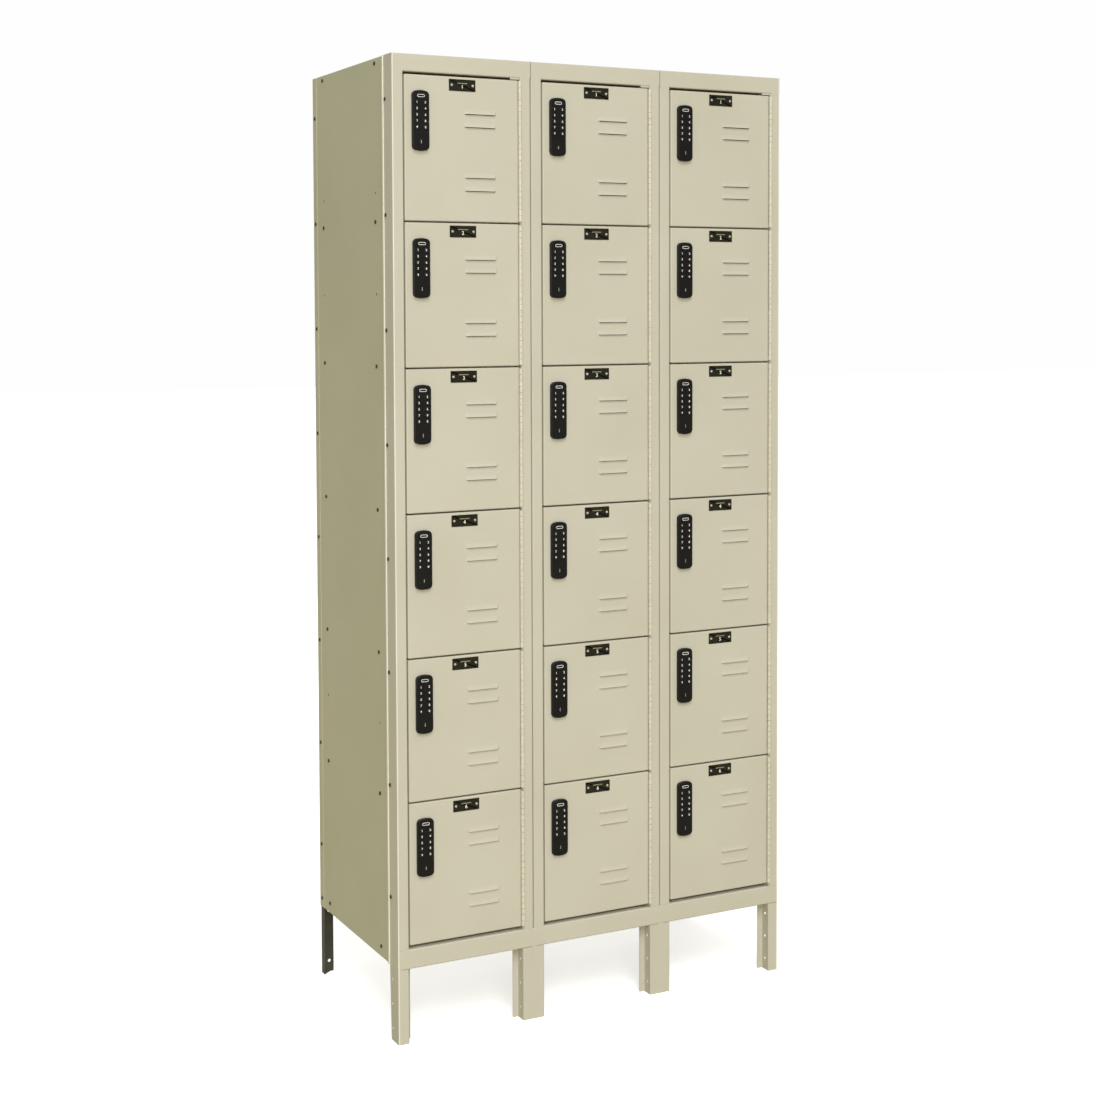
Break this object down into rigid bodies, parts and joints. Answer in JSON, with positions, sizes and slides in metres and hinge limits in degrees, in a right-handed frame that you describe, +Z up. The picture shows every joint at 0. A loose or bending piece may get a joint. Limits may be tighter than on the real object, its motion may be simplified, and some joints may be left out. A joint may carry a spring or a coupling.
{
  "type": "locker cabinet",
  "caption": "Steel box locker on legs: a grid of hinged, louvred doors with keypad locks, in bolted sheet columns behind a welded frame.",
  "frame": {"origin": "middle of the whole part on the floor", "axes": "+X right as seen from the front, +Y from front to back, +Z up"},
  "size_m": [0.9164, 0.4642, 1.9812],
  "materials": {
    "cabinet_paint": "satin baked enamel, light parchment",
    "leg_paint": "satin charcoal paint",
    "hinge_steel": "rolled steel under thin light enamel, brighter than the sheets",
    "bolt_steel": "zinc plated",
    "latch_steel": "plated, lightly worn",
    "keypad_black": "fine satin black with light numerals"
  },
  "bodies": {
    "cabinet": {"side_panel_left": "cabinet_paint", "side_panel_right": "cabinet_paint", "partition_panels": "cabinet_paint", "back_panels": "cabinet_paint", "top_panels": "cabinet_paint", "bottom_panels": "cabinet_paint", "shelves": "cabinet_paint", "frame_uprights": "cabinet_paint", "frame_rails": "cabinet_paint", "frame_cross_members": "cabinet_paint", "rear_legs": "leg_paint", "hinge_fixed_leaves": "hinge_steel", "hinge_pins": "hinge_steel", "fasteners": "bolt_steel"},
    "door_c1_t1": {"door_c1_t1": "cabinet_paint"},
    "lock_bolt_c1_t1": {"lock_bolt_c1_t1": "latch_steel"},
    "door_c1_t2": {"door_c1_t2": "cabinet_paint"},
    "lock_bolt_c1_t2": {"lock_bolt_c1_t2": "latch_steel"},
    "door_c1_t3": {"door_c1_t3": "cabinet_paint"},
    "lock_bolt_c1_t3": {"lock_bolt_c1_t3": "latch_steel"},
    "door_c1_t4": {"door_c1_t4": "cabinet_paint"},
    "lock_bolt_c1_t4": {"lock_bolt_c1_t4": "latch_steel"},
    "door_c1_t5": {"door_c1_t5": "cabinet_paint"},
    "lock_bolt_c1_t5": {"lock_bolt_c1_t5": "latch_steel"},
    "door_c1_t6": {"door_c1_t6": "cabinet_paint"},
    "lock_bolt_c1_t6": {"lock_bolt_c1_t6": "latch_steel"},
    "door_c2_t1": {"door_c2_t1": "cabinet_paint"},
    "lock_bolt_c2_t1": {"lock_bolt_c2_t1": "latch_steel"},
    "door_c2_t2": {"door_c2_t2": "cabinet_paint"},
    "lock_bolt_c2_t2": {"lock_bolt_c2_t2": "latch_steel"},
    "door_c2_t3": {"door_c2_t3": "cabinet_paint"},
    "lock_bolt_c2_t3": {"lock_bolt_c2_t3": "latch_steel"},
    "door_c2_t4": {"door_c2_t4": "cabinet_paint"},
    "lock_bolt_c2_t4": {"lock_bolt_c2_t4": "latch_steel"},
    "door_c2_t5": {"door_c2_t5": "cabinet_paint"},
    "lock_bolt_c2_t5": {"lock_bolt_c2_t5": "latch_steel"},
    "door_c2_t6": {"door_c2_t6": "cabinet_paint"},
    "lock_bolt_c2_t6": {"lock_bolt_c2_t6": "latch_steel"},
    "door_c3_t1": {"door_c3_t1": "cabinet_paint"},
    "lock_bolt_c3_t1": {"lock_bolt_c3_t1": "latch_steel"},
    "door_c3_t2": {"door_c3_t2": "cabinet_paint"},
    "lock_bolt_c3_t2": {"lock_bolt_c3_t2": "latch_steel"},
    "door_c3_t3": {"door_c3_t3": "cabinet_paint"},
    "lock_bolt_c3_t3": {"lock_bolt_c3_t3": "latch_steel"},
    "door_c3_t4": {"door_c3_t4": "cabinet_paint"},
    "lock_bolt_c3_t4": {"lock_bolt_c3_t4": "latch_steel"},
    "door_c3_t5": {"door_c3_t5": "cabinet_paint"},
    "lock_bolt_c3_t5": {"lock_bolt_c3_t5": "latch_steel"},
    "door_c3_t6": {"door_c3_t6": "cabinet_paint"},
    "lock_bolt_c3_t6": {"lock_bolt_c3_t6": "latch_steel"},
    "keypad_key_01": {"keypad_key_01": "keypad_black"},
    "keypad_key_02": {"keypad_key_02": "keypad_black"},
    "keypad_key_03": {"keypad_key_03": "keypad_black"},
    "keypad_key_04": {"keypad_key_04": "keypad_black"},
    "keypad_key_05": {"keypad_key_05": "keypad_black"},
    "keypad_key_06": {"keypad_key_06": "keypad_black"},
    "keypad_key_07": {"keypad_key_07": "keypad_black"},
    "keypad_key_08": {"keypad_key_08": "keypad_black"},
    "keypad_key_09": {"keypad_key_09": "keypad_black"},
    "keypad_key_10": {"keypad_key_10": "keypad_black"}
  },
  "joints": [
    {"name": "hinge_c1_t1", "type": "hinge", "parent": "cabinet", "child": "door_c1_t1", "pos_m": [-0.17825, -0.22824, 1.79768], "axis": [0, 0, 1], "range_deg": [0, 110]},
    {"name": "bolt_c1_t1", "type": "slide", "parent": "door_c1_t1", "child": "lock_bolt_c1_t1", "axis": [-1, 0, 0], "range_m": [0, 0.011]},
    {"name": "hinge_c1_t2", "type": "hinge", "parent": "cabinet", "child": "door_c1_t2", "pos_m": [-0.17825, -0.22824, 1.50685], "axis": [0, 0, 1], "range_deg": [0, 110]},
    {"name": "bolt_c1_t2", "type": "slide", "parent": "door_c1_t2", "child": "lock_bolt_c1_t2", "axis": [-1, 0, 0], "range_m": [0, 0.011]},
    {"name": "hinge_c1_t3", "type": "hinge", "parent": "cabinet", "child": "door_c1_t3", "pos_m": [-0.17825, -0.22824, 1.21602], "axis": [0, 0, 1], "range_deg": [0, 110]},
    {"name": "bolt_c1_t3", "type": "slide", "parent": "door_c1_t3", "child": "lock_bolt_c1_t3", "axis": [-1, 0, 0], "range_m": [0, 0.011]},
    {"name": "hinge_c1_t4", "type": "hinge", "parent": "cabinet", "child": "door_c1_t4", "pos_m": [-0.17825, -0.22824, 0.92518], "axis": [0, 0, 1], "range_deg": [0, 110]},
    {"name": "bolt_c1_t4", "type": "slide", "parent": "door_c1_t4", "child": "lock_bolt_c1_t4", "axis": [-1, 0, 0], "range_m": [0, 0.011]},
    {"name": "hinge_c1_t5", "type": "hinge", "parent": "cabinet", "child": "door_c1_t5", "pos_m": [-0.17825, -0.22824, 0.63435], "axis": [0, 0, 1], "range_deg": [0, 110]},
    {"name": "bolt_c1_t5", "type": "slide", "parent": "door_c1_t5", "child": "lock_bolt_c1_t5", "axis": [-1, 0, 0], "range_m": [0, 0.011]},
    {"name": "hinge_c1_t6", "type": "hinge", "parent": "cabinet", "child": "door_c1_t6", "pos_m": [-0.17825, -0.22824, 0.34352], "axis": [0, 0, 1], "range_deg": [0, 110]},
    {"name": "bolt_c1_t6", "type": "slide", "parent": "door_c1_t6", "child": "lock_bolt_c1_t6", "axis": [-1, 0, 0], "range_m": [0, 0.011]},
    {"name": "hinge_c2_t1", "type": "hinge", "parent": "cabinet", "child": "door_c2_t1", "pos_m": [0.12655, -0.22824, 1.79768], "axis": [0, 0, 1], "range_deg": [0, 110]},
    {"name": "bolt_c2_t1", "type": "slide", "parent": "door_c2_t1", "child": "lock_bolt_c2_t1", "axis": [-1, 0, 0], "range_m": [0, 0.011]},
    {"name": "hinge_c2_t2", "type": "hinge", "parent": "cabinet", "child": "door_c2_t2", "pos_m": [0.12655, -0.22824, 1.50685], "axis": [0, 0, 1], "range_deg": [0, 110]},
    {"name": "bolt_c2_t2", "type": "slide", "parent": "door_c2_t2", "child": "lock_bolt_c2_t2", "axis": [-1, 0, 0], "range_m": [0, 0.011]},
    {"name": "hinge_c2_t3", "type": "hinge", "parent": "cabinet", "child": "door_c2_t3", "pos_m": [0.12655, -0.22824, 1.21602], "axis": [0, 0, 1], "range_deg": [0, 110]},
    {"name": "bolt_c2_t3", "type": "slide", "parent": "door_c2_t3", "child": "lock_bolt_c2_t3", "axis": [-1, 0, 0], "range_m": [0, 0.011]},
    {"name": "hinge_c2_t4", "type": "hinge", "parent": "cabinet", "child": "door_c2_t4", "pos_m": [0.12655, -0.22824, 0.92518], "axis": [0, 0, 1], "range_deg": [0, 110]},
    {"name": "bolt_c2_t4", "type": "slide", "parent": "door_c2_t4", "child": "lock_bolt_c2_t4", "axis": [-1, 0, 0], "range_m": [0, 0.011]},
    {"name": "hinge_c2_t5", "type": "hinge", "parent": "cabinet", "child": "door_c2_t5", "pos_m": [0.12655, -0.22824, 0.63435], "axis": [0, 0, 1], "range_deg": [0, 110]},
    {"name": "bolt_c2_t5", "type": "slide", "parent": "door_c2_t5", "child": "lock_bolt_c2_t5", "axis": [-1, 0, 0], "range_m": [0, 0.011]},
    {"name": "hinge_c2_t6", "type": "hinge", "parent": "cabinet", "child": "door_c2_t6", "pos_m": [0.12655, -0.22824, 0.34352], "axis": [0, 0, 1], "range_deg": [0, 110]},
    {"name": "bolt_c2_t6", "type": "slide", "parent": "door_c2_t6", "child": "lock_bolt_c2_t6", "axis": [-1, 0, 0], "range_m": [0, 0.011]},
    {"name": "hinge_c3_t1", "type": "hinge", "parent": "cabinet", "child": "door_c3_t1", "pos_m": [0.43135, -0.22824, 1.79768], "axis": [0, 0, 1], "range_deg": [0, 110]},
    {"name": "bolt_c3_t1", "type": "slide", "parent": "door_c3_t1", "child": "lock_bolt_c3_t1", "axis": [-1, 0, 0], "range_m": [0, 0.011]},
    {"name": "hinge_c3_t2", "type": "hinge", "parent": "cabinet", "child": "door_c3_t2", "pos_m": [0.43135, -0.22824, 1.50685], "axis": [0, 0, 1], "range_deg": [0, 110]},
    {"name": "bolt_c3_t2", "type": "slide", "parent": "door_c3_t2", "child": "lock_bolt_c3_t2", "axis": [-1, 0, 0], "range_m": [0, 0.011]},
    {"name": "hinge_c3_t3", "type": "hinge", "parent": "cabinet", "child": "door_c3_t3", "pos_m": [0.43135, -0.22824, 1.21602], "axis": [0, 0, 1], "range_deg": [0, 110]},
    {"name": "bolt_c3_t3", "type": "slide", "parent": "door_c3_t3", "child": "lock_bolt_c3_t3", "axis": [-1, 0, 0], "range_m": [0, 0.011]},
    {"name": "hinge_c3_t4", "type": "hinge", "parent": "cabinet", "child": "door_c3_t4", "pos_m": [0.43135, -0.22824, 0.92518], "axis": [0, 0, 1], "range_deg": [0, 110]},
    {"name": "bolt_c3_t4", "type": "slide", "parent": "door_c3_t4", "child": "lock_bolt_c3_t4", "axis": [-1, 0, 0], "range_m": [0, 0.011]},
    {"name": "hinge_c3_t5", "type": "hinge", "parent": "cabinet", "child": "door_c3_t5", "pos_m": [0.43135, -0.22824, 0.63435], "axis": [0, 0, 1], "range_deg": [0, 110]},
    {"name": "bolt_c3_t5", "type": "slide", "parent": "door_c3_t5", "child": "lock_bolt_c3_t5", "axis": [-1, 0, 0], "range_m": [0, 0.011]},
    {"name": "hinge_c3_t6", "type": "hinge", "parent": "cabinet", "child": "door_c3_t6", "pos_m": [0.43135, -0.22824, 0.34352], "axis": [0, 0, 1], "range_deg": [0, 110]},
    {"name": "bolt_c3_t6", "type": "slide", "parent": "door_c3_t6", "child": "lock_bolt_c3_t6", "axis": [-1, 0, 0], "range_m": [0, 0.011]},
    {"name": "press_key_01", "type": "slide", "parent": "door_c1_t1", "child": "keypad_key_01", "axis": [0, 1, 0], "range_m": [0, 0.0007], "stiffness_N_per_m": 300},
    {"name": "press_key_02", "type": "slide", "parent": "door_c1_t1", "child": "keypad_key_02", "axis": [0, 1, 0], "range_m": [0, 0.0007], "stiffness_N_per_m": 300},
    {"name": "press_key_03", "type": "slide", "parent": "door_c1_t1", "child": "keypad_key_03", "axis": [0, 1, 0], "range_m": [0, 0.0007], "stiffness_N_per_m": 300},
    {"name": "press_key_04", "type": "slide", "parent": "door_c1_t1", "child": "keypad_key_04", "axis": [0, 1, 0], "range_m": [0, 0.0007], "stiffness_N_per_m": 300},
    {"name": "press_key_05", "type": "slide", "parent": "door_c1_t1", "child": "keypad_key_05", "axis": [0, 1, 0], "range_m": [0, 0.0007], "stiffness_N_per_m": 300},
    {"name": "press_key_06", "type": "slide", "parent": "door_c1_t1", "child": "keypad_key_06", "axis": [0, 1, 0], "range_m": [0, 0.0007], "stiffness_N_per_m": 300},
    {"name": "press_key_07", "type": "slide", "parent": "door_c1_t1", "child": "keypad_key_07", "axis": [0, 1, 0], "range_m": [0, 0.0007], "stiffness_N_per_m": 300},
    {"name": "press_key_08", "type": "slide", "parent": "door_c1_t1", "child": "keypad_key_08", "axis": [0, 1, 0], "range_m": [0, 0.0007], "stiffness_N_per_m": 300},
    {"name": "press_key_09", "type": "slide", "parent": "door_c1_t1", "child": "keypad_key_09", "axis": [0, 1, 0], "range_m": [0, 0.0007], "stiffness_N_per_m": 300},
    {"name": "press_key_10", "type": "slide", "parent": "door_c1_t1", "child": "keypad_key_10", "axis": [0, 1, 0], "range_m": [0, 0.0007], "stiffness_N_per_m": 300}
  ]
}
